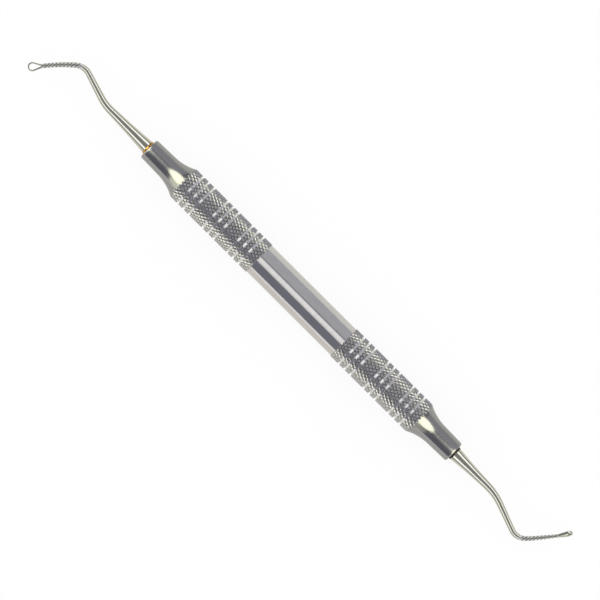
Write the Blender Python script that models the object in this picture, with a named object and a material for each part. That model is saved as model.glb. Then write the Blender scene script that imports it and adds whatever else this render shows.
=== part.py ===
"""Gingival cord packer with two ends: a hollow knurled handle, and a serrated packing loop brazed into each cone.

Metres, +Z up. The instrument lies on its grips: the handle's axis runs along X, the working ends
bend in a level plane, and the origin lies on the table under the middle of the instrument.
"""
import math

import bmesh
import bpy
from mathutils import Matrix, Vector

# Handle, along its axis from the middle outwards
HANDLE_LENGTH = 0.1080
CENTRE_LENGTH = 0.0298
CENTRE_DIAMETER = 0.0091
SHOULDER_LENGTH = 0.0002
GRIP_DIAMETER = 0.0095

# Knurl: crossed valleys around the grips
KNURL_STARTS = 24
KNURL_DEPTH = 0.00032
KNURL_HELIX = math.radians(30)
LEAST_ROW = 0.0002

# Ring grooves: three groups of three on each grip
GROOVE_GROUPS = 3
GROOVES_IN_GROUP = 3
GROOVE_MIDDLE = 0.0285
GROUP_PITCH = 0.00872
GROOVE_PITCH = 0.00198
GROOVE_WIDTH = 0.0006
GROOVE_DEPTH = 0.00045

# Cones: a nearly straight nose that flares into the grip along an arc
MOUTH_DIAMETER = 0.0059
RIM_LENGTH = 0.0009
RIM_DEPTH = 0.0006
RIM_STEPS = 3
NOSE_LENGTH = 0.0060
NOSE_BACK_DIAMETER = 0.0062
FLARE_RADIUS = 0.0130
FLARE_STEPS = 6

# Inside of the handle
HOLLOW_DIAMETER = 0.0072
HOLLOW_LENGTH = 0.0700
HOLLOW_TAPER = 0.0030
SEAT_DEPTH = 0.0007
BORE_SIDES = 24

# Tang of a working end, and its braze
TANG_DIAMETER = 0.0032
TANG_LENGTH = 0.0130
TANG_CHAMFER = 0.0004
TANG_CLEARANCE = 0.0002
BRAZE_WIDTH = 0.0002
BRAZE_HEIGHT = 0.0006
BRAZE_STANDS_OUT = 0.00015
BRAZE_CLEARANCE = 0.0001
BRAZE_SIDES = 24
BRAZE_SECTION_POINTS = 6

# Serrated neck: twisted ridges
RIDGE_STARTS = 5
RIDGE_LEAD = 0.0037
RIDGE_DEPTH = 0.00014
RIDGE_RUN_IN = 0.0010
RIDGE_SECTION = (0.0, 0.7, 1.0, 0.7)
ROWS_PER_LEAD = 12
NECK_END_ROUND = 0.00012

# Packing loop: a flat teardrop ring
LOOP_RADIUS = 0.00118
LOOP_WALL = 0.00038
LOOP_DEPTH = 0.00075
LOOP_CHAMFER = 0.00010
LOOP_CROTCH = 0.00205
LOOP_CROTCH_RADIUS = 0.00008
LOOP_TAIL = 0.0025
LOOP_TAIL_RADIUS = 0.00040
LOOP_BIG_STEPS = 28
LOOP_SMALL_STEPS = 6

# Sampling of the shanks
SHANK_STEP = 0.0024
BEND_STEP = math.radians(8)

# Each working end, from the mouth of its cone outwards: the shank's runs as (length, turn in degrees),
# then its radius at the mouth, the radius it tends to, and how fast it tends to it. The neck's ridges
# start at neck_start along the run and its radius goes from neck_radius to loop_neck_radius.
LEFT_END = {
    "runs": ((0.0136, 0), (0.0039, -17.5), (0.0069, 0), (0.0040, 58.6), (0.0088, 11)),
    "base_radius": 0.00185,
    "slim_radius": 0.00062,
    "slimming_length": 0.0130,
    "neck_start": 0.0266,
    "neck_radius": 0.00075,
    "loop_neck_radius": 0.00060,
    "loop_roll": 0,
    "loop_yaw": -4,
}
RIGHT_END = {
    "runs": ((0.0118, 0), (0.0058, -20.3), (0.0072, 0), (0.0035, 58), (0.0022, 12), (0.0071, 2)),
    "base_radius": 0.00190,
    "slim_radius": 0.00068,
    "slimming_length": 0.0095,
    "neck_start": 0.0272,
    "neck_radius": 0.00070,
    "loop_neck_radius": 0.00045,
    "loop_roll": 68,
    "loop_yaw": 5,
}

COLUMNS = 2 * KNURL_STARTS
NECK_COLUMNS = RIDGE_STARTS * len(RIDGE_SECTION)
HALF_HANDLE = HANDLE_LENGTH / 2
GRIP_RADIUS = GRIP_DIAMETER / 2
KNURL_ROW = GRIP_DIAMETER * math.pi / COLUMNS / math.tan(KNURL_HELIX)
BORE_RADIUS = TANG_DIAMETER / 2 + TANG_CLEARANCE
AXIS_HEIGHT = GRIP_RADIUS * math.cos(math.pi / COLUMNS)


def clear_scene():
    for item in list(bpy.data.objects):
        bpy.data.objects.remove(item, do_unlink=True)


def finish(name, colour, roughness, metallic):
    material = bpy.data.materials.new(name)
    material.use_nodes = True
    shader = material.node_tree.nodes["Principled BSDF"]
    shader.inputs["Base Color"].default_value = (*colour, 1)
    shader.inputs["Roughness"].default_value = roughness
    shader.inputs["Metallic"].default_value = metallic
    return material


def add_object(name, shape, material, smooth_angle=math.radians(35)):
    """Turns a bmesh into an object whose edges past smooth_angle stay sharp."""
    bmesh.ops.recalc_face_normals(shape, faces=shape.faces)
    mesh = bpy.data.meshes.new(name)
    shape.to_mesh(mesh)
    shape.free()
    mesh.materials.append(material)
    mesh.shade_smooth()
    mesh.set_sharp_from_angle(angle=smooth_angle)
    item = bpy.data.objects.new(name, mesh)
    bpy.context.scene.collection.objects.link(item)
    return item


def combine(item, other, operation):
    """Adds or cuts a helper, which stays in the file as a wire shape."""
    modifier = item.modifiers.new(other.name, "BOOLEAN")
    modifier.operation = operation
    modifier.solver = "EXACT"
    modifier.object = other
    other.hide_render = True
    other.display_type = "WIRE"


def skin(rows, closed=False):
    """A bmesh over rows of points, each quad split along its lower diagonal seen from the X axis.

    An open skin gets a flat cap at both ends, and a closed one joins its last row to its first.
    """
    shape = bmesh.new()
    rings = [[shape.verts.new(point) for point in row] for row in rows]
    pairs = list(zip(rings, rings[1:]))
    if closed:
        pairs.append((rings[-1], rings[0]))
    else:
        shape.faces.new(list(reversed(rings[0])))
        shape.faces.new(rings[-1])
    for near, far in pairs:
        for a, b, c, d in zip(near, near[1:] + near[:1], far[1:] + far[:1], far):
            if off_axis(a) + off_axis(c) < off_axis(b) + off_axis(d) - 1e-9:
                shape.faces.new((a, b, c))
                shape.faces.new((a, c, d))
            else:
                shape.faces.new((a, b, d))
                shape.faces.new((b, c, d))
    return shape


def off_axis(vertex):
    return math.hypot(vertex.co.y, vertex.co.z)


def turned_row(x, radii):
    """Points around the X axis, set so that a flat between two of them faces down."""
    turn = 2 * math.pi / len(radii)
    angles = [(column + 0.5) * turn - math.pi / 2 for column in range(len(radii))]
    return [Vector((x, r * math.cos(a), r * math.sin(a))) for r, a in zip(radii, angles)]


def knurl_radii(x):
    """Radius of each column: crests and pits alternate both around the grip and along it."""
    row, share = divmod(x / KNURL_ROW, 1)
    heights = [1 - share if (column + int(row)) % 2 else share for column in range(COLUMNS)]
    return [GRIP_RADIUS - KNURL_DEPTH * (1 - height) for height in heights]


def cone_radius(x):
    """Radius of the cone at x: the straight nose, then the flare's arc."""
    depth = HALF_HANDLE - x
    if depth < NOSE_LENGTH:
        return (MOUTH_DIAMETER + (NOSE_BACK_DIAMETER - MOUTH_DIAMETER) * depth / NOSE_LENGTH) / 2
    reach = min(depth - NOSE_LENGTH, FLARE_RADIUS)
    return NOSE_BACK_DIAMETER / 2 + FLARE_RADIUS - math.sqrt(FLARE_RADIUS**2 - reach**2)


def flare_length():
    """Length of the flare up to the crests of the knurl."""
    rise = GRIP_RADIUS - NOSE_BACK_DIAMETER / 2
    return math.sqrt(FLARE_RADIUS**2 - (FLARE_RADIUS - rise) ** 2)


def groove_places():
    places = []
    for group in range(GROOVE_GROUPS):
        middle = GROOVE_MIDDLE + (group - (GROOVE_GROUPS - 1) / 2) * GROUP_PITCH
        for groove in range(GROOVES_IN_GROUP):
            places.append(middle + (groove - (GROOVES_IN_GROUP - 1) / 2) * GROOVE_PITCH)
    return places


def land_stations(start, end):
    """Places along a knurled land: its two ends, and the knurl's rows between them."""
    first = math.ceil((start + LEAST_ROW) / KNURL_ROW)
    last = math.floor((end - LEAST_ROW) / KNURL_ROW)
    return [start] + [row * KNURL_ROW for row in range(first, last + 1)] + [end]


def half_handle_rows():
    """Rows of the outside from the edge of the smooth centre to the mouth of the cone, as (x, radii)."""
    centre_end = CENTRE_LENGTH / 2
    rows = [(centre_end, [CENTRE_DIAMETER / 2] * COLUMNS)]
    land_start = centre_end + SHOULDER_LENGTH
    for place in groove_places():
        for x in land_stations(land_start, place - GROOVE_WIDTH / 2):
            rows.append((x, knurl_radii(x)))
        rows.append((place, [GRIP_RADIUS - GROOVE_DEPTH] * COLUMNS))
        land_start = place + GROOVE_WIDTH / 2

    flare_end = HALF_HANDLE - NOSE_LENGTH
    flare_start = flare_end - flare_length()
    for x in land_stations(land_start, flare_start):
        rows.append((x, knurl_radii(x)))
    for step in range(1, FLARE_STEPS + 1):
        x = flare_start + (flare_end - flare_start) * step / FLARE_STEPS
        rows.append((x, [min(radius, cone_radius(x)) for radius in knurl_radii(x)]))

    for step in range(RIM_STEPS + 1):
        angle = math.pi / 2 * step / RIM_STEPS
        x = HALF_HANDLE - RIM_LENGTH * (1 - math.sin(angle))
        radius = cone_radius(x) - RIM_DEPTH * (1 - math.cos(angle))
        rows.append((x, [radius] * COLUMNS))
    return rows


def seat_radius():
    """Radius of the recess in each mouth, which holds the braze around the thicker shank."""
    shank = max(LEFT_END["base_radius"], RIGHT_END["base_radius"])
    return shank + BRAZE_WIDTH + 2 * BRAZE_CLEARANCE


def make_bore():
    """Cutter for the inside of the handle: a recess and a bore at each end, and the wide hollow between."""
    seat_floor = HALF_HANDLE - SEAT_DEPTH
    profile = [
        (HALF_HANDLE + SEAT_DEPTH, seat_radius()),
        (seat_floor, seat_radius()),
        (seat_floor, BORE_RADIUS),
        (HOLLOW_LENGTH / 2 + HOLLOW_TAPER, BORE_RADIUS),
        (HOLLOW_LENGTH / 2, HOLLOW_DIAMETER / 2),
    ]
    outline = [(-x, radius) for x, radius in profile] + list(reversed(profile))
    rows = [turned_row(x, [radius] * BORE_SIDES) for x, radius in outline]
    return add_object("handle_bore_cutter", skin(rows), finish("inside", (0.2, 0.2, 0.2), 0.5, 1.0))


def make_handle():
    """The handle, turned and knurled from one tube, with its bore cut through."""
    half = half_handle_rows()
    rows = [(-x, radii) for x, radii in reversed(half)] + half
    satin_steel = finish("satin_stainless_steel", (0.45, 0.45, 0.43), 0.3, 1.0)
    handle = add_object("handle", skin([turned_row(x, radii) for x, radii in rows]), satin_steel)
    combine(handle, make_bore(), "DIFFERENCE")
    return handle


def run_length(end):
    return sum(length for length, turn in end["runs"])


def centreline(end, distance):
    """Point and heading at a distance along a shank, which starts along +X at the mouth of its cone."""
    point = Vector((min(distance, 0), 0, 0))
    heading = 0.0
    for length, turn in end["runs"]:
        travelled = min(max(distance, 0), length)
        sweep = math.radians(turn) * travelled / length
        chord = travelled
        if abs(sweep) > 1e-9:
            chord = 2 * travelled / sweep * math.sin(sweep / 2)
        aim = heading + sweep / 2
        point += chord * Vector((math.cos(aim), math.sin(aim), 0))
        heading += sweep
        distance = max(distance, 0) - travelled
    return point, heading


def shank_radius(end, distance):
    """Crest radius along the run: the slimming shank, blended into the straight taper of the neck."""
    slimming = math.exp(-distance / end["slimming_length"])
    shank = end["slim_radius"] + (end["base_radius"] - end["slim_radius"]) * slimming
    along = (distance - end["neck_start"]) / (run_length(end) - end["neck_start"])
    if along < 0:
        return shank
    return end["neck_radius"] + (end["loop_neck_radius"] - end["neck_radius"]) * along


def shank_stations(end):
    """Distances of the rows along the shank: dense in the bends, and densest on the ridges."""
    stations = []
    start = 0.0
    for length, turn in end["runs"]:
        steps = max(math.ceil(abs(math.radians(turn)) / BEND_STEP), math.ceil(length / SHANK_STEP), 1)
        stations += [start + length * step / steps for step in range(steps)]
        start += length
    stations = [distance for distance in stations if distance < end["neck_start"] - LEAST_ROW]
    neck_length = run_length(end) - end["neck_start"]
    rows = math.ceil(neck_length / RIDGE_LEAD * ROWS_PER_LEAD)
    stations += [end["neck_start"] + neck_length * row / rows for row in range(rows)]
    return stations


def shank_row(end, distance, radius):
    """Points around the centreline, with the neck's ridges twisted in."""
    point, heading = centreline(end, distance)
    side = Vector((-math.sin(heading), math.cos(heading), 0))
    past = max(distance - end["neck_start"], 0)
    twist = -2 * math.pi * past / RIDGE_LEAD
    relief = RIDGE_DEPTH * min(past / RIDGE_RUN_IN, 1)
    row = []
    for column in range(NECK_COLUMNS):
        angle = 2 * math.pi * column / NECK_COLUMNS + twist
        height = RIDGE_SECTION[column % len(RIDGE_SECTION)]
        reach = radius - relief * (1 - height)
        row.append(point + reach * (math.cos(angle) * side + math.sin(angle) * Vector((0, 0, 1))))
    return row


def two_circle_outline(big_radius, small_radius, distance):
    """Outline round a big circle at the origin and a small one at -X, joined by their common tangents."""
    lean = math.acos((big_radius - small_radius) / distance)
    points = []
    for step in range(LOOP_BIG_STEPS + 1):
        angle = (math.pi - lean) * (2 * step / LOOP_BIG_STEPS - 1)
        points.append((big_radius * math.cos(angle), big_radius * math.sin(angle)))
    for step in range(LOOP_SMALL_STEPS + 1):
        angle = math.pi + lean * (2 * step / LOOP_SMALL_STEPS - 1)
        points.append((small_radius * math.cos(angle) - distance, small_radius * math.sin(angle)))
    return points


def make_loop(name, material):
    """The packing loop's plate about its ring centre, with chamfered edges and its tail along -X."""
    low = LOOP_DEPTH / 2 - LOOP_CHAMFER
    high = LOOP_DEPTH / 2
    outer = (LOOP_RADIUS, LOOP_TAIL_RADIUS, LOOP_TAIL, 1)
    inner = (LOOP_RADIUS - LOOP_WALL, LOOP_CROTCH_RADIUS, LOOP_CROTCH, -1)
    section = (
        (outer, 0, -low),
        (outer, 0, low),
        (outer, LOOP_CHAMFER, high),
        (inner, LOOP_CHAMFER, high),
        (inner, 0, low),
        (inner, 0, -low),
        (inner, LOOP_CHAMFER, -high),
        (outer, LOOP_CHAMFER, -high),
    )
    rows = []
    for (big, small, distance, side), inset, z in section:
        outline = two_circle_outline(big - side * inset, small - side * inset, distance)
        rows.append([Vector((x, y, z)) for x, y in outline])
    return add_object(name, skin(rows, closed=True), material)


def make_working_end(name, end):
    """Tang, bent shank, serrated neck and packing loop, in one piece."""
    steel = finish(name + "_polished_steel", (0.60, 0.59, 0.56), 0.12, 1.0)
    tang = TANG_DIAMETER / 2
    tang_end = -TANG_LENGTH
    tang_start = -SEAT_DEPTH / 2
    rows = [
        shank_row(end, tang_end, tang - TANG_CHAMFER),
        shank_row(end, tang_end + TANG_CHAMFER, tang),
        shank_row(end, tang_start - TANG_CHAMFER, tang),
        shank_row(end, tang_start, end["base_radius"]),
    ]
    rows += [shank_row(end, distance, shank_radius(end, distance)) for distance in shank_stations(end)]
    length = run_length(end)
    rows.append(shank_row(end, length, end["loop_neck_radius"] - NECK_END_ROUND))
    item = add_object(name, skin(rows), steel)

    point, heading = centreline(end, length)
    loop = make_loop(name + "_loop_shape", steel)
    for mesh_turn in (
        Matrix.Translation((LOOP_CROTCH + LOOP_CROTCH_RADIUS, 0, 0)),
        Matrix.Rotation(math.radians(end["loop_roll"]), 4, "X"),
        Matrix.Rotation(heading + math.radians(end["loop_yaw"]), 4, "Z"),
        Matrix.Translation(point),
    ):
        loop.data.transform(mesh_turn)
    combine(item, loop, "UNION")
    return [item, loop]


def make_braze(name, end, colour, metallic):
    """A bead of braze in the mouth's recess, around the shank."""
    inner = end["base_radius"] + BRAZE_CLEARANCE
    middle = (inner + seat_radius() - BRAZE_CLEARANCE) / 2
    half_width = middle - inner
    rows = []
    for step in range(BRAZE_SECTION_POINTS):
        angle = 2 * math.pi * step / BRAZE_SECTION_POINTS
        x = BRAZE_STANDS_OUT + BRAZE_HEIGHT / 2 * (math.sin(angle) - 1)
        rows.append(turned_row(x, [middle + half_width * math.cos(angle)] * BRAZE_SIDES))
    return add_object(name, skin(rows, closed=True), finish(name + "_alloy", colour, 0.3, metallic))


def seat(items, side, parent):
    """Places the pieces of one end at the mouth of its cone, side +1 at +X and -1 at -X."""
    for item in items:
        item.location = (side * HALF_HANDLE, 0, 0)
        item.rotation_euler = (0, 0, 0 if side > 0 else math.pi)
        item.parent = parent


def centre_on_origin(carrier):
    """Moves the whole instrument so that its box is centred on the origin in X and Y."""
    bpy.context.view_layer.update()
    graph = bpy.context.evaluated_depsgraph_get()
    corners = []
    for item in bpy.data.objects:
        if item.type == "MESH" and not item.hide_render:
            shown = item.evaluated_get(graph)
            corners += [shown.matrix_world @ Vector(corner) for corner in shown.bound_box]
    for axis in (0, 1):
        low = min(corner[axis] for corner in corners)
        high = max(corner[axis] for corner in corners)
        carrier.location[axis] -= (low + high) / 2


def main():
    clear_scene()
    carrier = bpy.data.objects.new("instrument", None)
    bpy.context.scene.collection.objects.link(carrier)
    carrier.location = (0, 0, AXIS_HEIGHT)

    handle = make_handle()
    handle.parent = carrier
    for helper in handle.modifiers:
        helper.object.parent = carrier

    gold_braze = make_braze("left_braze_ring", LEFT_END, (0.60, 0.33, 0.10), 1.0)
    dark_braze = make_braze("right_braze_ring", RIGHT_END, (0.10, 0.09, 0.08), 0.6)
    seat(make_working_end("left_working_end", LEFT_END) + [gold_braze], -1, carrier)
    seat(make_working_end("right_working_end", RIGHT_END) + [dark_braze], 1, carrier)
    centre_on_origin(carrier)


main()
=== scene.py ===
"""The finished look of the gingival cord packer, laid out as a Blender add-on.

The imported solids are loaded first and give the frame. Every piece below is a surface worked out with
numpy from the sizes in the property groups, in metres, and stands in for the solid of the same part.
The instrument lies along X, and the photograph looks straight down on it.
"""
import math

import bpy
import numpy as np
from bpy.props import FloatProperty, FloatVectorProperty, IntProperty, PointerProperty
from bpy.types import Operator, Panel, PropertyGroup
from mathutils import Matrix, Vector


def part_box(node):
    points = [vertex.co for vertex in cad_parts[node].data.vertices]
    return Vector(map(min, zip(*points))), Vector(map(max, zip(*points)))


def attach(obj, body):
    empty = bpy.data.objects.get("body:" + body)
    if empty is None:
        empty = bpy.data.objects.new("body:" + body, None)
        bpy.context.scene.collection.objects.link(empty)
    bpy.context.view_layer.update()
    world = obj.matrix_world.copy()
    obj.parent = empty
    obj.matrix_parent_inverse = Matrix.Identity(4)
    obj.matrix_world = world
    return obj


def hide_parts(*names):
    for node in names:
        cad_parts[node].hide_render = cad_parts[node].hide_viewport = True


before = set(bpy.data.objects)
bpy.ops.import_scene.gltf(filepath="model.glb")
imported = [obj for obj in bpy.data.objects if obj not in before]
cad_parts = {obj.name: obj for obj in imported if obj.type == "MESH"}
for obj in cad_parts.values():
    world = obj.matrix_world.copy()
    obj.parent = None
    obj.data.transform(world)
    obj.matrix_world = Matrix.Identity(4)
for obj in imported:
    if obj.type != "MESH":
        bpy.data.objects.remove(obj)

bl_info = {
    "name": "Gingival cord packer",
    "version": (1, 0, 0),
    "blender": (4, 5, 0),
    "location": "3D Viewport > Sidebar > Cord packer",
    "description": "Builds a double-ended gingival cord packer with a knurled handle",
    "category": "Add Mesh",
}

MM = 0.001
HANDLE_LOW, HANDLE_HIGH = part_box("handle")
AXIS_X = (HANDLE_LOW[0] + HANDLE_HIGH[0]) / 2
AXIS_Y = (HANDLE_LOW[1] + HANDLE_HIGH[1]) / 2
AXIS_HEIGHT = (HANDLE_LOW[2] + HANDLE_HIGH[2]) / 2
RELIEF = "relief"
STRAIGHT = "straight"


def linear(hex_colour):
    """Linear colour of an sRGB hex value such as #C8C6C0."""
    channels = np.array([int(hex_colour[i:i + 2], 16) for i in (1, 3, 5)]) / 255
    low = channels / 12.92
    high = ((channels + 0.055) / 1.055) ** 2.4
    return tuple(float(value) for value in np.where(channels <= 0.04045, low, high))


def length(name, description, millimetres):
    """A length property whose default is given in millimetres."""
    return FloatProperty(name=name, description=description, default=millimetres * MM, min=0,
                         unit="LENGTH", precision=5)


def colour(name, description, hex_colour):
    """A colour property whose default is an sRGB hex value."""
    return FloatVectorProperty(name=name, description=description, default=linear(hex_colour),
                               size=3, min=0, max=1, subtype="COLOR")


# Sizes and colours

class HandleSizes(PropertyGroup):
    """Sizes of the handle, along its axis from the middle outwards."""
    handle_length: length("Length", "From mouth to mouth of the cones", 108)
    centre_length: length("Smooth centre length", "Plain middle between the grips", 29.8)
    centre_diameter: length("Smooth centre diameter", "Diameter of the plain middle", 9.1)
    shoulder: length("Shoulder", "Length of the step from the centre up to the grip", 0.2)
    knurl_starts: IntProperty(name="Knurl starts", description="Valleys of each hand around the grip",
                              default=28, min=8, max=48)
    knurl_depth: length("Knurl depth", "From the crests down to the valleys", 0.21)
    knurl_helix: FloatProperty(name="Knurl helix", description="Angle between a valley and the axis",
                               default=math.radians(35.5), unit="ROTATION")
    knurl_crest: FloatProperty(name="Knurl crest", description="Height at which the crests are cut off",
                               default=0.5, min=0.2, max=1, subtype="FACTOR")
    groove_groups: IntProperty(name="Groove groups", description="Groups of grooves on each grip",
                               default=3, min=1, max=5)
    grooves_in_group: IntProperty(name="Grooves in a group", description="Grooves in each group",
                                  default=3, min=1, max=5)
    groove_middle: length("Groove middle", "From the middle of the handle to the middle group", 28.5)
    group_pitch: length("Group pitch", "From one group of grooves to the next", 8.72)
    groove_pitch: length("Groove pitch", "From one groove to the next in a group", 1.98)
    groove_width: length("Groove width", "Width of a groove", 0.6)
    groove_depth: length("Groove depth", "Depth of a groove below the crests", 0.45)
    groove_bevel: length("Groove bevel", "Bevel between a groove's walls and its floor", 0.06)
    valley_run: length("Valley run", "Length of the knurl's valleys on the flare", 2.2)
    mouth_diameter: length("Mouth diameter", "Diameter of the cone at its mouth", 5.9)
    rim_length: length("Rim length", "Length of the rounding at the mouth", 0.5)
    rim_depth: length("Rim depth", "How far the rounding comes in", 0.3)
    nose_length: length("Nose length", "Length of the nearly straight nose", 6)
    nose_back_diameter: length("Nose back diameter", "Diameter where the nose meets the flare", 6.2)
    flare_radius: length("Flare radius", "Radius of the arc from the nose up to the grip", 13)
    seat_radius: length("Recess radius", "Radius of the recess in each mouth", 2.3)
    seat_depth: length("Recess depth", "Depth of the recess in each mouth", 0.7)
    bore_radius: length("Bore radius", "Radius of the bore behind the recess", 1.8)
    bore_depth: length("Bore depth", "Depth of the bore behind each mouth", 19)


class EndSizes:
    """Sizes that both working ends share."""
    tang_diameter: length("Tang diameter", "Part of the shank inside the cone", 3.2)
    tang_length: length("Tang length", "Length of the tang behind the mouth", 13)
    tang_chamfer: length("Tang chamfer", "Chamfer on the tang's inner end", 0.4)
    foot_depth: length("Foot depth", "Depth in the mouth at which the shank widens", 0.75)
    foot_length: length("Foot length", "Length over which it widens to its base", 0.4)
    neck_blend: length("Neck blend", "Length over which the shank runs into the neck", 0.8)
    # The real ridges are 0.67 mm apart, too fine for the picture, so these are 0.95 mm apart.
    ridge_starts: IntProperty(name="Ridges", description="Twisted ridges around the neck",
                              default=4, min=3, max=12)
    ridge_lead: length("Ridge lead", "Length of one full twist", 3.8)
    ridge_depth: length("Ridge depth", "Depth of the valleys between the ridges", 0.18)
    ridge_run_in: length("Ridge run-in", "Length over which the ridges rise", 1)
    ridge_run_out: length("Ridge run-out", "Length over which they end at the loop", 0.5)
    neck_dome: length("Neck dome", "Length of the rounding at the end of the neck", 0.45)
    loop_radius: length("Loop radius", "Outer radius of the packing loop", 1.178)
    loop_wall: length("Loop wall", "Width of the strap that forms the loop", 0.38)
    loop_depth: length("Loop depth", "Depth of the strap that forms the loop", 0.75)
    loop_crotch: length("Loop crotch", "From the ring's centre to the crotch of the opening", 2.05)
    loop_crotch_radius: length("Crotch radius", "Radius of the crotch", 0.08)
    loop_tail: length("Loop tail", "From the ring's centre to the tail inside the neck", 2.5)
    loop_tail_radius: length("Tail radius", "Radius of the tail", 0.4)


class LeftEndSizes(EndSizes, PropertyGroup):
    """Sizes of the working end at -X, from the mouth of its cone outwards."""
    run_lengths: FloatVectorProperty(name="Run lengths", description="Straight and bent runs in turn",
                                     size=6, default=(0.0136, 0.0039, 0.0069, 0.0040, 0.0088, 0),
                                     unit="LENGTH", precision=5)
    run_turns: FloatVectorProperty(name="Run turns", description="Turn of each run", size=6,
                                   default=np.radians((0, -17.5, 0, 58.6, 11, 0)), unit="ROTATION")
    base_radius: length("Base radius", "Radius at the mouth", 1.85)
    slim_radius: length("Slim radius", "Radius that the shank tends to", 0.62)
    slimming_length: length("Slimming length", "How fast the shank gets thinner", 13)
    neck_start: length("Neck start", "Where the ridges start", 26.6)
    neck_radius: length("Neck radius", "Radius where the ridges start", 0.75)
    loop_neck_radius: length("Neck end radius", "Radius of the neck at the loop", 0.60)
    loop_roll: FloatProperty(name="Loop roll", description="Turn of the loop about the neck",
                             default=0, unit="ROTATION")
    loop_yaw: FloatProperty(name="Loop yaw", description="Sideways turn of the loop",
                            default=math.radians(-4), unit="ROTATION")


class RightEndSizes(EndSizes, PropertyGroup):
    """Sizes of the working end at +X, from the mouth of its cone outwards."""
    run_lengths: FloatVectorProperty(name="Run lengths", description="Straight and bent runs in turn",
                                     size=6, default=(0.0118, 0.0058, 0.0072, 0.0035, 0.0022, 0.0071),
                                     unit="LENGTH", precision=5)
    run_turns: FloatVectorProperty(name="Run turns", description="Turn of each run", size=6,
                                   default=np.radians((0, -20.3, 0, 58, 12, 2)), unit="ROTATION")
    base_radius: length("Base radius", "Radius at the mouth", 1.90)
    slim_radius: length("Slim radius", "Radius that the shank tends to", 0.68)
    slimming_length: length("Slimming length", "How fast the shank gets thinner", 9.5)
    neck_start: length("Neck start", "Where the ridges start", 27.2)
    neck_radius: length("Neck radius", "Radius where the ridges start", 0.70)
    loop_neck_radius: length("Neck end radius", "Radius of the neck at the loop", 0.45)
    loop_roll: FloatProperty(name="Loop roll", description="Turn of the loop about the neck",
                             default=math.radians(68), unit="ROTATION")
    loop_yaw: FloatProperty(name="Loop yaw", description="Sideways turn of the loop",
                            default=math.radians(5), unit="ROTATION")


class BrazeSizes(PropertyGroup):
    """Sizes of the ring of braze in the mouth of each cone."""
    depth: length("Depth", "Depth of the ring behind the mouth", 0.6)
    rise: length("Rise", "From the fillet's foot at the rim up to its edge on the shank", 0.65)
    sink: length("Sink", "How far the fillet's foot lies behind the mouth", 0.12)
    swell: length("Swell", "Unevenness of the fillet around its turn", 0.04)
    bite: length("Bite", "How far the ring reaches into the shank and into the cone", 0.03)


class PackerColours(PropertyGroup):
    """Colours of the metals and of the stage."""
    polished: colour("Polished steel", "Smooth centre", "#DCDAD6")
    groove: colour("Bright steel", "Walls and floors of the grooves", "#EFEEEC")
    satin: colour("Satin steel", "Cones", "#A9A8A6")
    crest: colour("Knurl crests", "Tops and flanks of the knurl", "#BEBDBF")
    # Painted shade: the knurl's valleys take this darker, bluer copy of the steel in their hollows.
    valley: colour("Knurl valleys", "Bottoms of the knurl", "#A3A2AC")
    shank: colour("Shank steel", "Polished shanks and loops", "#DCDAC8")
    # Painted light and shade on the neck: its crests are a lighter copy of the shank steel, and its
    # valleys a darker one in their hollows.
    neck: colour("Neck ridges", "Crests and flanks of the ridges", "#ECEBE2")
    neck_valley_shade: colour("Neck valleys", "Bottoms between the ridges of the neck", "#949388")
    gold: colour("Gold braze", "Braze of the left end", "#E0A44C")
    gold_spots: colour("Braze spots", "Burnt spots in the gold braze", "#4A2E1C")
    dark: colour("Dark braze", "Braze of the right end", "#3B3935")
    floor: colour("Floor", "Matt paper under the instrument", "#F4F4F4")
    floor_in_steel: colour("Floor in steel", "How the floor shows in the metal", "#E4E2DE")
    room: colour("Room", "How the room shows in the metal", "#7A7C88")


# Surfaces

def surface(points, faces, finish=0, relief=1.0, straight=None):
    """A bare surface: points (n, 3), faces as rows of corners, and what each face or point carries."""
    points = np.asarray(points, float).reshape(-1, 3)
    if straight is None:
        straight = points
    return {
        "points": points,
        "faces": [list(face) for face in faces],
        "finish": np.broadcast_to(finish, len(faces)).astype(np.int32),
        "relief": np.broadcast_to(relief, len(points)).astype(np.float32),
        "straight": np.asarray(straight, np.float32).reshape(-1, 3),
    }


def grid_corners(rows, columns, wrap):
    """Corners of the cells of a grid whose columns close on themselves, and whose rows do if wrap."""
    row, column = np.meshgrid(np.arange(rows if wrap else rows - 1), np.arange(columns), indexing="ij")
    after, beside = (row + 1) % rows, (column + 1) % columns
    return np.stack([row * columns + column, row * columns + beside,
                     after * columns + beside, after * columns + column], axis=-1)


def split_cells(corners, heights, centre_heights):
    """Two triangles per cell, along the diagonal whose mean height is nearer to the cell's centre."""
    flat = heights.reshape(-1)
    first = np.abs(flat[corners[..., 0]] + flat[corners[..., 2]] - 2 * centre_heights)
    second = np.abs(flat[corners[..., 1]] + flat[corners[..., 3]] - 2 * centre_heights)
    along_first = corners[..., [0, 1, 2, 0, 2, 3]]
    along_second = corners[..., [0, 1, 3, 1, 2, 3]]
    pairs = np.where((first <= second)[..., None], along_first, along_second)
    return pairs.reshape(-1, 3)


def end_caps(rows, columns):
    """Flat faces over the first and the last row of an open grid."""
    last = (rows - 1) * columns
    return [list(range(columns))[::-1], list(range(last, last + columns))]


def turned_outwards(made):
    """The same surface with its faces flipped if its signed volume is negative.

    The volume is a sixth of the sum over a face's fan of triangles of a . (b x c).
    """
    points = made["points"] - made["points"].mean(axis=0)
    fans = np.array([(face[0], face[i], face[i + 1])
                     for face in made["faces"] for i in range(1, len(face) - 1)])
    a, b, c = points[fans[:, 0]], points[fans[:, 1]], points[fans[:, 2]]
    if np.einsum("ij,ij->", a, np.cross(b, c)) < 0:
        made["faces"] = [face[::-1] for face in made["faces"]]
    return made


def joined(*parts):
    """Several closed surfaces as one, each keeping its own shell."""
    starts = np.cumsum([0] + [len(part["points"]) for part in parts])
    faces = [[corner + int(start) for corner in face]
             for part, start in zip(parts, starts) for face in part["faces"]]
    made = {key: np.concatenate([part[key] for part in parts])
            for key in ("points", "finish", "relief", "straight")}
    made["faces"] = faces
    return made


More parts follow.
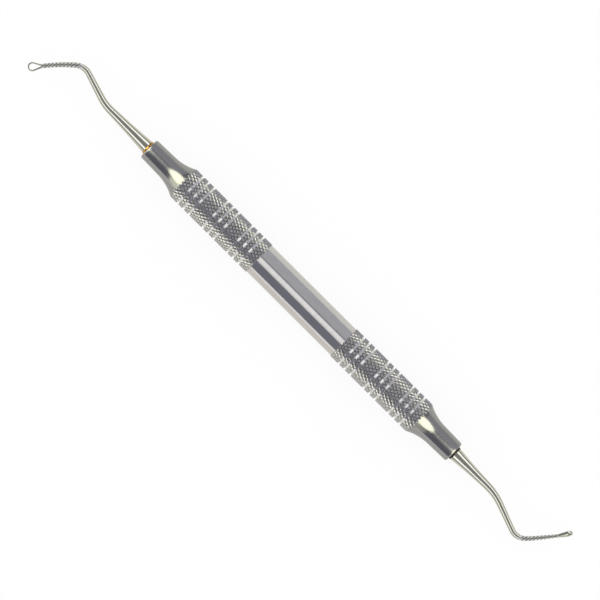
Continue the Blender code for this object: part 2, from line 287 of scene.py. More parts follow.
def add_piece(name, made, materials, nodes, sharp=math.radians(32)):
    """Puts a surface into a mesh object that rides on the root and stands in for CAD nodes."""
    mesh = bpy.data.meshes.new(name)
    mesh.from_pydata(made["points"].tolist(), [], made["faces"])
    for material in materials:
        mesh.materials.append(material)
    mesh.polygons.foreach_set("material_index", made["finish"])
    mesh.attributes.new(RELIEF, "FLOAT", "POINT").data.foreach_set("value", made["relief"])
    straight = mesh.attributes.new(STRAIGHT, "FLOAT_VECTOR", "POINT")
    straight.data.foreach_set("vector", made["straight"].reshape(-1))
    mesh.validate()
    mesh.shade_smooth()
    mesh.set_sharp_from_angle(angle=sharp)
    mesh.update()
    piece = bpy.data.objects.new(name, mesh)
    bpy.context.scene.collection.objects.link(piece)
    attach(piece, "root")
    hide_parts(*nodes)


# Nodes and materials

def add_node(tree, kind, inputs=None, **settings):
    """Adds a node with its settings, and fills or links its inputs by name or number."""
    made = tree.nodes.new(kind)
    for name, value in settings.items():
        setattr(made, name, value)
    for socket, value in (inputs or {}).items():
        if isinstance(value, bpy.types.NodeSocket):
            tree.links.new(value, made.inputs[socket])
        else:
            made.inputs[socket].default_value = value
    return made


def new_material(name):
    """An empty material: its tree and its output node."""
    material = bpy.data.materials.new(name)
    material.use_nodes = True
    material.node_tree.nodes.clear()
    return material, material.node_tree, add_node(material.node_tree, "ShaderNodeOutputMaterial")


def per_metre(*millimetres):
    """Scale of a pattern whose features are that many millimetres apart along each axis."""
    return tuple(1 / (value * MM) for value in millimetres)


def grain(tree, coordinates, spacing, detail=2.0):
    """A grain from 0 to 1 whose marks are spacing = (x, y, z) millimetres apart."""
    placed = add_node(tree, "ShaderNodeMapping", {"Vector": coordinates, "Scale": per_metre(*spacing)})
    noise = add_node(tree, "ShaderNodeTexNoise", {"Vector": placed.outputs[0], "Scale": 1.0,
                                                  "Detail": detail})
    return add_node(tree, "ShaderNodeMapRange", {"Value": noise.outputs["Fac"], "From Min": 0.3,
                                                 "From Max": 0.7}).outputs[0]


def solid(rgb):
    """The colour as a socket takes it, with its fourth value."""
    return (*rgb, 1.0)


def shaded(rgb, factor):
    """The colour times a factor, as a socket takes it."""
    return (*(channel * factor for channel in rgb), 1.0)


def turned_steel(name, rgb):
    """Stainless steel, turned and polished: clear bands of light with faint rings of the lathe.

    The rings are finer than the picture can show, so they are drawn 0.3 mm apart.
    """
    material, tree, output = new_material(name)
    place = add_node(tree, "ShaderNodeTexCoord").outputs["Object"]
    rings = grain(tree, place, (0.30, 40, 40), 3.0)
    cloud = grain(tree, place, (2.5, 1.6, 1.6))
    tone = add_node(tree, "ShaderNodeMix", {0: cloud, 6: shaded(rgb, 0.94), 7: solid(rgb)},
                    data_type="RGBA")
    gloss = add_node(tree, "ShaderNodeMapRange", {"Value": rings, "To Min": 0.09, "To Max": 0.16})
    bump = add_node(tree, "ShaderNodeBump", {"Height": rings, "Strength": 0.05, "Distance": 0.02 * MM})
    shader = add_node(tree, "ShaderNodeBsdfPrincipled", {
        "Base Color": tone.outputs[2], "Metallic": 1.0, "Roughness": gloss.outputs[0],
        "Normal": bump.outputs[0]})
    tree.links.new(shader.outputs[0], output.inputs[0])
    return material


def satin_turned_steel(rgb):
    """Stainless steel, turned and rubbed with fine abrasive: soft, darker reflections.

    The rings are drawn 0.22 mm apart, coarser than they are, so that they show at all.
    """
    material, tree, output = new_material("satin_turned_stainless_steel")
    place = add_node(tree, "ShaderNodeTexCoord").outputs["Object"]
    rings = grain(tree, place, (0.22, 30, 30), 3.0)
    blast = grain(tree, place, (0.35, 0.35, 0.35), 3.0)
    tone = add_node(tree, "ShaderNodeMix", {0: rings, 6: shaded(rgb, 0.97), 7: solid(rgb)},
                    data_type="RGBA")
    gloss = add_node(tree, "ShaderNodeMapRange", {"Value": rings, "To Min": 0.18, "To Max": 0.22})
    bump = add_node(tree, "ShaderNodeBump", {"Height": blast, "Strength": 0.004, "Distance": 0.02 * MM})
    shader = add_node(tree, "ShaderNodeBsdfPrincipled", {
        "Base Color": tone.outputs[2], "Metallic": 1.0, "Roughness": gloss.outputs[0],
        "Normal": bump.outputs[0]})
    tree.links.new(shader.outputs[0], output.inputs[0])
    return material


def steel_with_painted_valley_shade(name, crest, valley, shade_span, rough):
    """Stainless steel with a cut or rolled relief: crests and flanks in the crest colour, over valleys in
    painted shade.

    shade_span is the span of heights over which the painted shade of the valleys gives way, and rough the
    least roughness.
    """
    material, tree, output = new_material(name)
    place = add_node(tree, "ShaderNodeTexCoord").outputs["Object"]
    relief = add_node(tree, "ShaderNodeAttribute", attribute_name=RELIEF).outputs["Fac"]
    height = add_node(tree, "ShaderNodeMapRange", {"Value": relief, "From Min": shade_span[0],
                                                   "From Max": shade_span[1]})
    wear = grain(tree, place, (0.5, 0.5, 0.5), 3.0)
    worn = add_node(tree, "ShaderNodeMix", {0: wear, 6: shaded(crest, 0.90), 7: solid(crest)},
                    data_type="RGBA")
    # Painted shade: the valley colour darkens the surface where the relief is low.
    tone = add_node(tree, "ShaderNodeMix", {0: height.outputs[0], 6: solid(valley), 7: worn.outputs[2]},
                    data_type="RGBA")
    gloss = add_node(tree, "ShaderNodeMapRange", {"Value": wear, "To Min": rough, "To Max": rough + 0.08})
    shader = add_node(tree, "ShaderNodeBsdfPrincipled", {
        "Base Color": tone.outputs[2], "Metallic": 1.0, "Roughness": gloss.outputs[0]})
    tree.links.new(shader.outputs[0], output.inputs[0])
    return material


def polished_drawn_steel(rgb):
    """Stainless steel, drawn and polished lengthwise: clear streaks along the shank.

    The streaks are drawn 0.12 mm apart, coarser than they are, so that they show at all.
    """
    material, tree, output = new_material("polished_drawn_stainless_steel")
    along = add_node(tree, "ShaderNodeAttribute", attribute_name=STRAIGHT).outputs["Vector"]
    lines = grain(tree, along, (6, 0.12, 0.12))
    tone = add_node(tree, "ShaderNodeMix", {0: lines, 6: shaded(rgb, 0.93), 7: solid(rgb)},
                    data_type="RGBA")
    gloss = add_node(tree, "ShaderNodeMapRange", {"Value": lines, "To Min": 0.10, "To Max": 0.18})
    bump = add_node(tree, "ShaderNodeBump", {"Height": lines, "Strength": 0.03, "Distance": 0.02 * MM})
    shader = add_node(tree, "ShaderNodeBsdfPrincipled", {
        "Base Color": tone.outputs[2], "Metallic": 1.0, "Roughness": gloss.outputs[0],
        "Normal": bump.outputs[0]})
    tree.links.new(shader.outputs[0], output.inputs[0])
    return material


def brazing_alloy(name, rgb, spots):
    """Brazing alloy, melted in: a soft lumpy sheen with burnt spots of flux."""
    material, tree, output = new_material(name)
    place = add_node(tree, "ShaderNodeTexCoord").outputs["Object"]
    lumps = grain(tree, place, (0.5, 0.5, 0.5))
    burnt = grain(tree, place, (0.7, 0.45, 0.45), 1.0)
    mask = add_node(tree, "ShaderNodeMapRange", {"Value": burnt, "From Min": 0.55, "From Max": 0.75})
    tone = add_node(tree, "ShaderNodeMix", {0: mask.outputs[0], 6: solid(rgb), 7: solid(spots)},
                    data_type="RGBA")
    gloss = add_node(tree, "ShaderNodeMapRange", {"Value": lumps, "To Min": 0.28, "To Max": 0.42})
    bump = add_node(tree, "ShaderNodeBump", {"Height": lumps, "Strength": 0.2, "Distance": 0.05 * MM})
    shader = add_node(tree, "ShaderNodeBsdfPrincipled", {
        "Base Color": tone.outputs[2], "Metallic": 1.0, "Roughness": gloss.outputs[0],
        "Normal": bump.outputs[0]})
    tree.links.new(shader.outputs[0], output.inputs[0])
    return material


# The handle

GRID_PER_PITCH = 8
FLARE_ROWS, NOSE_ROWS, RIM_ROWS = 12, 4, 8
KNURL, POLISHED, SATIN, BRIGHT = 0, 1, 2, 3
LEAST_GAP = 0.02 * MM


def knurl_pitch(sizes):
    """Length of one diamond along the axis: its width around divided by the tangent of the helix."""
    around = 2 * math.pi * AXIS_HEIGHT / sizes.knurl_starts
    return around / math.tan(sizes.knurl_helix)


def knurl_relief(sizes, x, angle):
    """Height of the knurl from 0 in a valley to 1 on a crest, at x along the axis and an angle around.

    u = starts * angle / 2 pi + |x| / pitch and v, with a minus sign, count the pitches across the two
    families of valleys. The height is twice the lesser of their distances from a whole number, cut off
    at the height crest and divided by it.
    """
    turns = sizes.knurl_starts * angle / (2 * math.pi)
    along = np.abs(x) / knurl_pitch(sizes)
    u, v = (turns + along) % 1, (turns - along) % 1
    lesser = np.minimum(np.minimum(u, 1 - u), np.minimum(v, 1 - v))
    return np.minimum(2 * lesser / sizes.knurl_crest, 1)


def cone_radius(sizes, x):
    """Radius of the cone: a straight nose, then back + R - sqrt(R^2 - reach^2) along the flare's arc."""
    depth = sizes.handle_length / 2 - np.abs(x)
    mouth, back = sizes.mouth_diameter / 2, sizes.nose_back_diameter / 2
    nose = mouth + (back - mouth) * np.clip(depth / sizes.nose_length, 0, 1)
    reach = np.clip(depth - sizes.nose_length, 0, sizes.flare_radius)
    return nose + sizes.flare_radius - np.sqrt(sizes.flare_radius**2 - reach**2)


def flare_length(sizes):
    """Length of the flare up to the crests of the knurl."""
    rise = AXIS_HEIGHT - sizes.nose_back_diameter / 2
    return math.sqrt(sizes.flare_radius**2 - (sizes.flare_radius - rise) ** 2)


def groove_places(sizes):
    """Middle of each groove of one grip, from the inside out."""
    groups = np.arange(sizes.groove_groups) - (sizes.groove_groups - 1) / 2
    grooves = np.arange(sizes.grooves_in_group) - (sizes.grooves_in_group - 1) / 2
    places = sizes.groove_middle + groups[:, None] * sizes.group_pitch + grooves * sizes.groove_pitch
    return places.reshape(-1)


def rows_of(x, radius, finish):
    """Rows of x, turned radius and the finish of the strip that follows."""
    x = np.asarray(x, float)
    return np.stack([x, np.broadcast_to(radius, x.shape), np.broadcast_to(finish, x.shape)], axis=1)


def land_rows(sizes, start, end, after):
    """Rows of a knurled land from start to end, and on each whole step of the knurl's grid between."""
    step = knurl_pitch(sizes) / GRID_PER_PITCH
    inside = np.arange(math.floor(start / step) + 1, math.ceil(end / step)) * step
    inside = inside[(inside - start > LEAST_GAP) & (end - inside > LEAST_GAP)]
    rows = rows_of(np.concatenate([[start], inside, [end]]), AXIS_HEIGHT, KNURL)
    rows[-1, 2] = after
    return rows


def groove_rows(sizes, place):
    """Rows of a groove: its flat floor between two bevels of 45 degrees."""
    half, bevel = sizes.groove_width / 2 - LEAST_GAP, sizes.groove_bevel
    floor = AXIS_HEIGHT - sizes.groove_depth
    return rows_of([place - half, place - half + bevel, place + half - bevel, place + half],
                   [floor + bevel, floor, floor, floor + bevel], BRIGHT)


def cone_rows(sizes, flare_start):
    """Rows of the cone: the flare with the ends of the valleys, the nose, and the rounding at its rim.

    The rounding is a quarter of an ellipse: rim_length (1 - sin t) from the mouth and
    rim_depth (1 - cos t) below the cone.
    """
    half = sizes.handle_length / 2
    step = knurl_pitch(sizes) / GRID_PER_PITCH
    cut = np.arange(math.floor(flare_start / step) + 1,
                    math.ceil((flare_start + sizes.valley_run) / step)) * step
    cut = cut[cut - flare_start > LEAST_GAP]
    flare = np.linspace(cut[-1] + step, half - sizes.nose_length, FLARE_ROWS)
    nose = np.linspace(half - sizes.nose_length, half - sizes.rim_length, NOSE_ROWS)[1:]
    turn = np.radians(np.linspace(0, 90, RIM_ROWS))[1:]
    rim = half - sizes.rim_length * (1 - np.sin(turn))
    x = np.concatenate([cut, flare, nose, rim])
    drop = np.concatenate([np.zeros(len(x) - len(rim)), sizes.rim_depth * (1 - np.cos(turn))])
    return rows_of(x, cone_radius(sizes, x) - drop, SATIN)


def outside_rows(sizes):
    """Rows of the outside, from the middle of the handle to the mouth."""
    edge = sizes.centre_length / 2
    rows = [rows_of([0, edge / 2, edge - sizes.shoulder, edge - LEAST_GAP], sizes.centre_diameter / 2,
                    [POLISHED, POLISHED, POLISHED, KNURL])]
    start = edge + sizes.shoulder / 2
    for place in groove_places(sizes):
        rows.append(land_rows(sizes, start, place - sizes.groove_width / 2, BRIGHT))
        rows.append(groove_rows(sizes, place))
        start = place + sizes.groove_width / 2
    flare_start = sizes.handle_length / 2 - sizes.nose_length - flare_length(sizes)
    rows.append(land_rows(sizes, start, flare_start, SATIN))
    rows.append(cone_rows(sizes, flare_start))
    return np.concatenate(rows)


def inside_rows(sizes):
    """Rows of the recess and the bore, from the mouth inwards."""
    half = sizes.handle_length / 2
    x = [half, half - sizes.seat_depth, half - sizes.seat_depth, half - sizes.bore_depth]
    radius = [sizes.seat_radius, sizes.seat_radius, sizes.bore_radius, sizes.bore_radius]
    return rows_of(x, radius, SATIN)


def handle_surface(sizes):
    """The handle as one closed tube: the outside from -X to +X, and back through the bore.

    A point is (x, r cos a, r sin a) about the axis, where r is the turned radius, or on the grips and
    the start of the flare the knurled radius crest - depth * (1 - relief) where that is smaller.
    """
    far, bore = outside_rows(sizes), inside_rows(sizes)
    mirror = np.array([-1, 1, 1])
    near = far[:0:-1] * mirror
    near[:, 2] = far[-2::-1, 2]
    rows = np.concatenate([near, far, bore, bore[::-1] * mirror])
    all_x, turned = rows[:, :1], rows[:, 1:2]
    outer = len(near) + len(far)
    on_grip = (np.arange(len(rows)) < outer)[:, None] & (np.abs(all_x) > sizes.centre_length / 2)

    columns = sizes.knurl_starts * GRID_PER_PITCH
    angle = 2 * math.pi * np.arange(columns)[None, :] / columns
    relief = knurl_relief(sizes, all_x, angle)
    knurled = AXIS_HEIGHT - sizes.knurl_depth * (1 - relief)
    reach = np.where(on_grip, np.minimum(turned, knurled), turned)

    middle_x = (all_x + np.roll(all_x, -1, axis=0)) / 2
    middle_turned = (turned + np.roll(turned, -1, axis=0)) / 2
    middle_relief = knurl_relief(sizes, middle_x, angle + math.pi / columns)
    middle_knurled = AXIS_HEIGHT - sizes.knurl_depth * (1 - middle_relief)
    middle = np.where(on_grip, np.minimum(middle_turned, middle_knurled), middle_turned)

    points = np.stack([AXIS_X + np.broadcast_to(all_x, reach.shape),
                       AXIS_Y + reach * np.cos(angle), AXIS_HEIGHT + reach * np.sin(angle)], axis=-1)
    faces = split_cells(grid_corners(len(rows), columns, True), reach, middle)
    finish = np.broadcast_to(rows[:, 2:], reach.shape)
    finish = np.where((finish == SATIN) & (middle < middle_turned), KNURL, finish)
    # The relief goes to the material too, which paints shade into the knurl's valleys by it.
    shown_relief = np.where(on_grip & (turned >= knurled), relief, 1)
    return surface(points, faces, np.repeat(finish.reshape(-1), 2), shown_relief.reshape(-1))


class PACKER_OT_handle(Operator):
    """Build the knurled handle with its grooves, smooth centre and cones"""
    bl_idname = "packer.handle"
    bl_label = "Handle"

    def execute(self, context):
        sizes, colours = context.scene.packer_handle, context.scene.packer_colours
        # The knurled steel paints shade into the valleys of the knurl.
        materials = [steel_with_painted_valley_shade("knurled_stainless_steel_painted_shade", colours.crest, colours.valley, (0, 0.45), 0.29),
                     turned_steel("polished_turned_stainless_steel", colours.polished),
                     satin_turned_steel(colours.satin),
                     turned_steel("bright_turned_stainless_steel", colours.groove)]
        add_piece("knurled_handle", turned_outwards(handle_surface(sizes)), materials,
                  ["handle"], sharp=math.radians(25))
        return {"FINISHED"}


# The working ends

NECK_POINTS_PER_RIDGE = 14
SHANK_ROWS, NECK_ROWS, DOME_ROWS = 90, 150, 10
DOME_TURN = math.radians(86)
LOOP_SECTION_POINTS = 28
LOOP_RING_ROWS, LOOP_TAIL_ROWS = 64, 20
LOOP_SQUARENESS = 0.6


def centreline(end, distance):
    """Points and headings along a shank that starts along +X at the mouth of its cone.

    A run of length l that turns by t carries the point over the chord 2 l / t * sin(t / 2), aimed at
    the heading before it plus t / 2.
    """
    distance = np.asarray(distance, float)
    point = np.stack([np.minimum(distance, 0), 0 * distance], axis=-1)
    heading = np.zeros_like(distance)
    left = np.maximum(distance, 0)
    for run, turn in zip(end.run_lengths, end.run_turns):
        if run <= 0:
            continue
        travelled = np.minimum(left, run)
        sweep = turn * travelled / run
        aim = heading + sweep / 2
        chord = travelled * np.sinc(sweep / 2 / math.pi)
        point = point + chord[:, None] * np.stack([np.cos(aim), np.sin(aim)], axis=-1)
        heading = heading + sweep
        left = left - travelled
    return point, heading


def shank_radius(end, distance):
    """Radius along the run: slim + (base - slim) exp(-distance / slimming), then the neck's taper."""
    total = sum(end.run_lengths)
    shank = end.slim_radius + (end.base_radius - end.slim_radius) * np.exp(-distance / end.slimming_length)
    along = np.clip((distance - end.neck_start) / (total - end.neck_start), 0, 1)
    neck = end.neck_radius + (end.loop_neck_radius - end.neck_radius) * along
    blend = np.clip((distance - end.neck_start) / end.neck_blend + 1, 0, 1)
    blend = blend * blend * (3 - 2 * blend)
    return shank * (1 - blend) + neck * blend


def shank_stations(end):
    """Distances and radii of the rows: the tang, its shoulder in the recess, and the run to a dome."""
    total = sum(end.run_lengths)
    tang, chamfer = end.tang_diameter / 2, end.tang_chamfer
    foot = end.foot_length - end.foot_depth
    tang_x = np.array([-end.tang_length, chamfer - end.tang_length, -end.foot_depth, foot])
    tang_radius = np.array([tang - chamfer, tang, tang, end.base_radius])
    dome = end.neck_dome
    run = np.concatenate([np.linspace(0, end.neck_start, SHANK_ROWS)[:-1],
                          np.linspace(end.neck_start, total - dome, NECK_ROWS)])
    bend = np.linspace(0, DOME_TURN, DOME_ROWS)[1:]
    cap = total - dome + dome * np.sin(bend)
    distance = np.concatenate([tang_x, run, cap])
    reach = np.concatenate([tang_radius, shank_radius(end, run),
                            shank_radius(end, total - dome) * np.cos(bend)])
    return distance, reach


def shank_surface(end):
    """Tang, bent shank and ridged neck as one tube about the centreline.

    Around the neck the radius is lowered by depth * (1 - cos(n (a - twist))) / 2, which gives n rounded
    ridges; the twist grows by a full turn in each lead.
    """
    total = sum(end.run_lengths)
    distance, reach = shank_stations(end)
    columns = end.ridge_starts * NECK_POINTS_PER_RIDGE
    past = np.maximum(distance - end.neck_start, 0)
    twist = -2 * math.pi * past / end.ridge_lead
    around = 2 * math.pi * np.arange(columns) / columns
    angle = around + twist[:, None]
    lobe = (1 + np.cos(end.ridge_starts * around)) / 2
    rise = np.clip(past / end.ridge_run_in, 0, 1) * np.clip((total - distance) / end.ridge_run_out, 0, 1)
    # The relief also shapes the ridges below, and goes to the neck's material, which paints the crests
    # lighter and the valleys darker by it.
    relief = 1 - rise[:, None] * (1 - lobe)
    radius = reach[:, None] - end.ridge_depth * (1 - relief)
    point, heading = centreline(end, distance)
    side = radius * np.cos(angle)
    points = np.stack([point[:, :1] - side * np.sin(heading)[:, None],
                       point[:, 1:] + side * np.cos(heading)[:, None],
                       radius * np.sin(angle)], axis=-1)
    straight = np.stack([np.broadcast_to(distance[:, None], radius.shape), side, points[..., 2]], axis=-1)
    corners = grid_corners(len(distance), columns, False).reshape(-1, 4)
    faces = corners.tolist() + end_caps(len(distance), columns)
    finish = np.append(np.repeat(past[:-1] > 0, columns), [False, True])
    return turned_outwards(surface(points, faces, finish, relief.reshape(-1), straight))


def two_circle_outline(big_radius, small_radius, distance, share):
    """Outline round a big circle at the origin and a small one at -X, joined by common tangents.

    share runs from 0 to 2: up to 1 it goes round the big circle, and from 1 round the small one. The
    tangents touch each circle at the angle pi - acos((big - small) / distance).
    """
    lean = math.acos((big_radius - small_radius) / distance)
    big = (math.pi - lean) * (2 * share - 1)
    small = math.pi + lean * (2 * share - 3)
    on_big = share <= 1
    x = np.where(on_big, big_radius * np.cos(big), small_radius * np.cos(small) - distance)
    y = np.where(on_big, big_radius * np.sin(big), small_radius * np.sin(small))
    return np.stack([x, y], axis=-1)


def loop_surface(end):
    """The packing loop: a strap of rounded section bent to a teardrop.

    At the section angle q the strap's edge is (1 + c) / 2 of the way from the inner to the outer
    outline and depth / 2 * s above the plane, where c and s are the cosine and sine of q, raised in size
    to a power below 1 that squares the section.
    """
    share = np.concatenate([np.linspace(0, 1, LOOP_RING_ROWS), np.linspace(1.001, 2, LOOP_TAIL_ROWS)])
    outer = two_circle_outline(end.loop_radius, end.loop_tail_radius, end.loop_tail, share)
    inner = two_circle_outline(end.loop_radius - end.loop_wall, end.loop_crotch_radius,
                               end.loop_crotch, share)
    q = 2 * math.pi * np.arange(LOOP_SECTION_POINTS) / LOOP_SECTION_POINTS
    c = np.sign(np.cos(q)) * np.abs(np.cos(q)) ** LOOP_SQUARENESS
    s = np.sign(np.sin(q)) * np.abs(np.sin(q)) ** LOOP_SQUARENESS
    weight = ((1 + c) / 2)[None, :, None]
    flat = inner[:, None, :] * (1 - weight) + outer[:, None, :] * weight
    height = np.broadcast_to(end.loop_depth / 2 * s, flat.shape[:2])
    plate = np.stack([flat[..., 0] + end.loop_crotch + end.loop_crotch_radius, flat[..., 1], height], -1)
    roll = end.loop_roll
    y = plate[..., 1] * math.cos(roll) - plate[..., 2] * math.sin(roll)
    z = plate[..., 1] * math.sin(roll) + plate[..., 2] * math.cos(roll)
    total = sum(end.run_lengths)
    point, heading = centreline(end, np.array([total]))
    aim = float(heading[0]) + end.loop_yaw
    points = np.stack([point[0, 0] + plate[..., 0] * math.cos(aim) - y * math.sin(aim),
                       point[0, 1] + plate[..., 0] * math.sin(aim) + y * math.cos(aim), z], axis=-1)
    corners = grid_corners(len(share), LOOP_SECTION_POINTS, True).reshape(-1, 4)
    return turned_outwards(surface(points, corners.tolist(), 0, 1.0))


def seated(made, side, half_length):
    """Moves a surface from the mouth's own axes to its end of the handle, turned round at -X."""
    made["points"] = made["points"] * np.array([side, side, 1])
    made["points"] = made["points"] + np.array([AXIS_X + side * half_length, AXIS_Y, AXIS_HEIGHT])
    return made


def add_working_end(context, name, end, side, materials):
    """Adds one working end, seated in its cone; its materials are those of the shank and of the neck."""
    half = context.scene.packer_handle.handle_length / 2
    whole = joined(shank_surface(end), loop_surface(end))
    add_piece(name + "_steel", seated(whole, side, half), materials, [name],
              sharp=math.radians(40))


class PACKER_OT_working_ends(Operator):
    """Build both bent shanks with their ridged necks and packing loops"""
    bl_idname = "packer.working_ends"
    bl_label = "Working ends"

    def execute(self, context):
        scene, colours = context.scene, context.scene.packer_colours
        # The ridged steel paints its crests lighter than the shank and its valleys darker.
        materials = [polished_drawn_steel(colours.shank),
                     steel_with_painted_valley_shade("ridged_stainless_steel_painted_light_and_shade", colours.neck, colours.neck_valley_shade,
                               (0.15, 0.65), 0.40)]
        add_working_end(context, "left_working_end", scene.packer_left_end, -1, materials)
        add_working_end(context, "right_working_end", scene.packer_right_end, 1, materials)
        return {"FINISHED"}


# The braze

BRAZE_COLUMNS, FILLET_ROWS = 96, 7


def braze_surface(braze, base_radius, seat_radius):
    """A ring of braze in the recess, whose face is a fillet that climbs from the rim to the shank.

    The fillet is a quarter of an ellipse, hollow outwards: at the turn t it is rise (1 - sin t) - sink
    from the mouth and width (1 - cos t) from the shank. The ring swells and shrinks around its turn
    by swell sin(3 a) and a finer wave, as melted metal does.
    """
    angle = 2 * math.pi * np.arange(BRAZE_COLUMNS) / BRAZE_COLUMNS
    inner, outer = base_radius - braze.bite, seat_radius + braze.bite
    turn = np.radians(np.linspace(0, 90, FILLET_ROWS))
    x = np.concatenate([[-braze.depth, -braze.depth], braze.rise * (1 - np.sin(turn)) - braze.sink])
    radius = np.concatenate([[outer, inner], inner + (outer - inner) * (1 - np.cos(turn))])
    swell = braze.swell * (np.sin(3 * angle + 1) + 0.6 * np.sin(7 * angle))
    free = (x > -braze.depth / 2)[:, None] * swell[None, :]
    points = np.stack([x[:, None] + free, radius[:, None] * np.cos(angle),
                       radius[:, None] * np.sin(angle)], axis=-1)
    corners = grid_corners(len(x), BRAZE_COLUMNS, True).reshape(-1, 4)
    return turned_outwards(surface(points, corners.tolist()))


class PACKER_OT_braze(Operator):
    """Build the ring of braze around each shank in the mouth of its cone"""
    bl_idname = "packer.braze"
    bl_label = "Braze"

    def execute(self, context):
        scene, colours = context.scene, context.scene.packer_colours
        handle = scene.packer_handle
        gold = brazing_alloy("gold_silver_brazing_alloy", colours.gold, colours.gold_spots)
        dark = brazing_alloy("oxidised_brazing_alloy", colours.dark, shaded(colours.dark, 0.5)[:3])
        for name, end, side, alloy, slot in (
            ("left_braze_ring", scene.packer_left_end, -1, gold, "gold_braze"),
            ("right_braze_ring", scene.packer_right_end, 1, dark, "dark_braze"),
        ):
            ring = braze_surface(scene.packer_braze, end.base_radius, handle.seat_radius)
            add_piece(name + "_fillet", seated(ring, side, handle.handle_length / 2), [alloy], [name])
        return {"FINISHED"}


# The stage

FRAME_WIDTH = 150.6 * MM
LENS = 200.0
SENSOR_WIDTH = 36.0
CAMERA_TURN = math.radians(44.9)
LAMP_DISTANCE = 1.2
END_BOX_PLACE = (134 * MM, 6 * MM, 85 * MM)
END_BOX_SIZE = (131 * MM, 112 * MM)
FLOOR_REACH = 3.0
FLOOR_WHITENESS = 0.9
FLOOR_LIGHT = 1.1


def receivers(name, pieces):
    """A collection of the pieces that a lamp lights."""
    collection = bpy.data.collections.new(name)
    for piece in pieces:
        collection.objects.link(bpy.data.objects[piece])
    return collection


def place_above(across, along):
    """A point at LAMP_DISTANCE, at an angle about the instrument's axis and one along it, in degrees."""
    across, along = math.radians(across), math.radians(along)
    return LAMP_DISTANCE * Vector((math.sin(along), math.sin(across) * math.cos(along),
                                   math.cos(across) * math.cos(along)))


def seen_as(angle):
    """Size at LAMP_DISTANCE of a lamp that takes up this angle in degrees."""
    return 2 * LAMP_DISTANCE * math.tan(math.radians(angle) / 2)


def add_softbox(name, centre, facing, length, width, rgb, level, lit, shape="RECTANGLE"):
    """A flat lamp with its long side along the instrument, for the pieces in the collection lit.

    It stands at centre and looks against the direction facing; level is how bright it looks in a mirror.
    """
    share = 1 if shape == "RECTANGLE" else math.pi / 4
    facing = Vector(facing).normalized()
    side = facing.cross(Vector((1, 0, 0))).normalized()
    data = bpy.data.lights.new(name, "AREA")
    data.shape = shape
    data.size = length
    data.size_y = width
    data.color = rgb
    data.energy = 4 * share * length * width * level
    lamp = bpy.data.objects.new(name, data)
    turn = Matrix((side.cross(facing), side, facing)).transposed()
    lamp.matrix_world = Matrix.Translation(centre) @ turn.to_4x4()
    lamp.visible_camera = False
    bpy.context.scene.collection.objects.link(lamp)
    lamp.light_linking.receiver_collection = lit


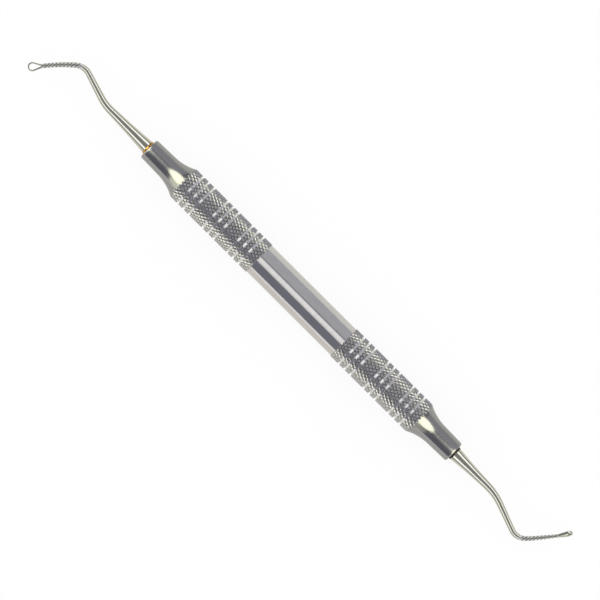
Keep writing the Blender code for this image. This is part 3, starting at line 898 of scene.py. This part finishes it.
class PACKER_OT_stage(Operator):
    """Set up the floor, the studio light and the camera above the instrument"""
    bl_idname = "packer.stage"
    bl_label = "Stage"

    def execute(self, context):
        colours = context.scene.packer_colours
        self.make_floor(colours)
        self.make_world(context.scene, colours)
        self.make_lamps()
        self.make_camera(context.scene)
        context.scene.view_settings.view_transform = "Standard"
        return {"FINISHED"}

    def make_floor(self, colours):
        """A square of matt paper that shows white with a faint shadow, and pale in reflections."""
        far = FLOOR_REACH
        mesh = bpy.data.meshes.new("paper_floor")
        mesh.from_pydata([(-far, -far, 0), (far, -far, 0), (far, far, 0), (-far, far, 0)],
                         [], [(0, 1, 2, 3)])
        material, tree, output = new_material("matt_white_paper")
        path = add_node(tree, "ShaderNodeLightPath")
        matt = add_node(tree, "ShaderNodeBsdfDiffuse", {"Color": solid(colours.floor)})
        white = add_node(tree, "ShaderNodeEmission", {"Color": (1, 1, 1, 1)})
        pale = add_node(tree, "ShaderNodeEmission", {"Color": solid(colours.floor_in_steel)})
        seen = add_node(tree, "ShaderNodeMixShader", {
            0: FLOOR_WHITENESS, 1: matt.outputs[0], 2: white.outputs[0]})
        by_camera = add_node(tree, "ShaderNodeMixShader", {
            0: path.outputs["Is Camera Ray"], 1: matt.outputs[0], 2: seen.outputs[0]})
        mirrored = add_node(tree, "ShaderNodeMixShader", {
            0: path.outputs["Is Glossy Ray"], 1: by_camera.outputs[0], 2: pale.outputs[0]})
        tree.links.new(mirrored.outputs[0], output.inputs[0])
        mesh.materials.append(material)
        floor = bpy.data.objects.new("paper_floor", mesh)
        bpy.context.scene.collection.objects.link(floor)

    def make_world(self, scene, colours):
        """White to the camera, a dim grey room in reflections, and even light on the floor."""
        world = bpy.data.worlds.new("studio_room")
        world.use_nodes = True
        tree = world.node_tree
        tree.nodes.clear()
        output = add_node(tree, "ShaderNodeOutputWorld")
        path = add_node(tree, "ShaderNodeLightPath")
        white = add_node(tree, "ShaderNodeBackground", {"Color": (1, 1, 1, 1)})
        room = add_node(tree, "ShaderNodeBackground", {"Color": solid(colours.room)})
        even = add_node(tree, "ShaderNodeBackground", {"Color": (1, 1, 1, 1), "Strength": FLOOR_LIGHT})
        lit = add_node(tree, "ShaderNodeMixShader", {
            0: path.outputs["Is Glossy Ray"], 1: even.outputs[0], 2: room.outputs[0]})
        shown = add_node(tree, "ShaderNodeMixShader", {
            0: path.outputs["Is Camera Ray"], 1: lit.outputs[0], 2: white.outputs[0]})
        tree.links.new(shown.outputs[0], output.inputs[0])
        scene.world = world

    def make_lamps(self):
        """Soft boxes above, beside and beyond both ends for the handle, and three for the ends.

        Each row gives a box's angles across and along, the angles that its width and its depth along
        the instrument take up, its colour, its level and what it lights.
        """
        handle = receivers("lit_with_handle", ["knurled_handle", "left_braze_ring_fillet",
                                               "right_braze_ring_fillet"])
        ends = receivers("lit_with_ends", ["left_working_end_steel", "right_working_end_steel"])
        cream, warm, grey = linear("#FEFEE2"), linear("#FFFDFA"), linear("#F4F4F6")
        cool, olive = linear("#F6F8FF"), linear("#FFF0B0")
        for name, across, along, width, depth, rgb, level, lit in (
            ("overhead_box", -3, 0, 34, 9.5, warm, 0.5, handle),
            ("overhead_strip", -1, 0, 22, 34, warm, 0.18, handle),
            ("far_side_box", 54.5, 0, 68, 90, grey, 0.24, handle),
            ("near_side_box", -85, 0, 16, 90, warm, 0.62, handle),
            ("left_low_box", -58, -46, 30, 36, cream, 0.9, handle),
            ("right_low_box", -58, 46, 30, 36, cream, 0.35, handle),
            ("overhead_end_strip", 0, 0, 60, 90, olive, 0.055, ends),
            ("far_shank_box", 50, 0, 32, 90, cool, 1.05, ends),
            ("near_shank_box", -50, 0, 32, 90, cool, 1.05, ends),
        ):
            centre = place_above(across, along)
            add_softbox(name, centre, centre, seen_as(depth), seen_as(width), rgb, level, lit)
        for name, side in (("left_end_box", -1), ("right_end_box", 1)):
            beyond, aside, height = END_BOX_PLACE
            add_softbox(name, Vector((side * beyond, side * aside, height)), (0, 0, 1), *END_BOX_SIZE,
                        cream, 2.1, handle, shape="ELLIPSE")

    def make_camera(self, scene):
        """Straight above the instrument, turned so that its axis falls from upper left to lower right."""
        data = bpy.data.cameras.new("camera")
        data.lens = LENS
        data.sensor_width = SENSOR_WIDTH
        camera = bpy.data.objects.new("camera", data)
        camera.location = (0, 0, AXIS_HEIGHT + FRAME_WIDTH * LENS / SENSOR_WIDTH)
        camera.rotation_euler = (0, 0, CAMERA_TURN)
        scene.collection.objects.link(camera)
        scene.camera = camera


class PACKER_PT_panel(Panel):
    """Sidebar panel with every step of the cord packer"""
    bl_idname = "PACKER_PT_panel"
    bl_label = "Cord packer"
    bl_space_type = "VIEW_3D"
    bl_region_type = "UI"
    bl_category = "Cord packer"

    def draw(self, context):
        for step in STEPS:
            self.layout.operator(step.bl_idname)
        for group in GROUPS:
            box = self.layout.box()
            values = getattr(context.scene, group)
            for name in values.bl_rna.properties.keys():
                if name not in ("name", "rna_type"):
                    box.prop(values, name)


STEPS = (PACKER_OT_handle, PACKER_OT_working_ends, PACKER_OT_braze, PACKER_OT_stage)
GROUPS = {
    "packer_handle": HandleSizes,
    "packer_left_end": LeftEndSizes,
    "packer_right_end": RightEndSizes,
    "packer_braze": BrazeSizes,
    "packer_colours": PackerColours,
}


def register():
    """Adds the classes and hangs the property groups on the scene."""
    for item in (*GROUPS.values(), *STEPS, PACKER_PT_panel):
        bpy.utils.register_class(item)
    for name, group in GROUPS.items():
        setattr(bpy.types.Scene, name, PointerProperty(type=group))


def unregister():
    """Takes the property groups and the classes away again."""
    for name in GROUPS:
        delattr(bpy.types.Scene, name)
    for item in (PACKER_PT_panel, *reversed(STEPS), *reversed(list(GROUPS.values()))):
        bpy.utils.unregister_class(item)


def main():
    """Builds every piece and the stage."""
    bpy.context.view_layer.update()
    register()
    bpy.ops.packer.handle()
    bpy.ops.packer.working_ends()
    bpy.ops.packer.braze()
    bpy.ops.packer.stage()


if __name__ == "__main__":
    main()
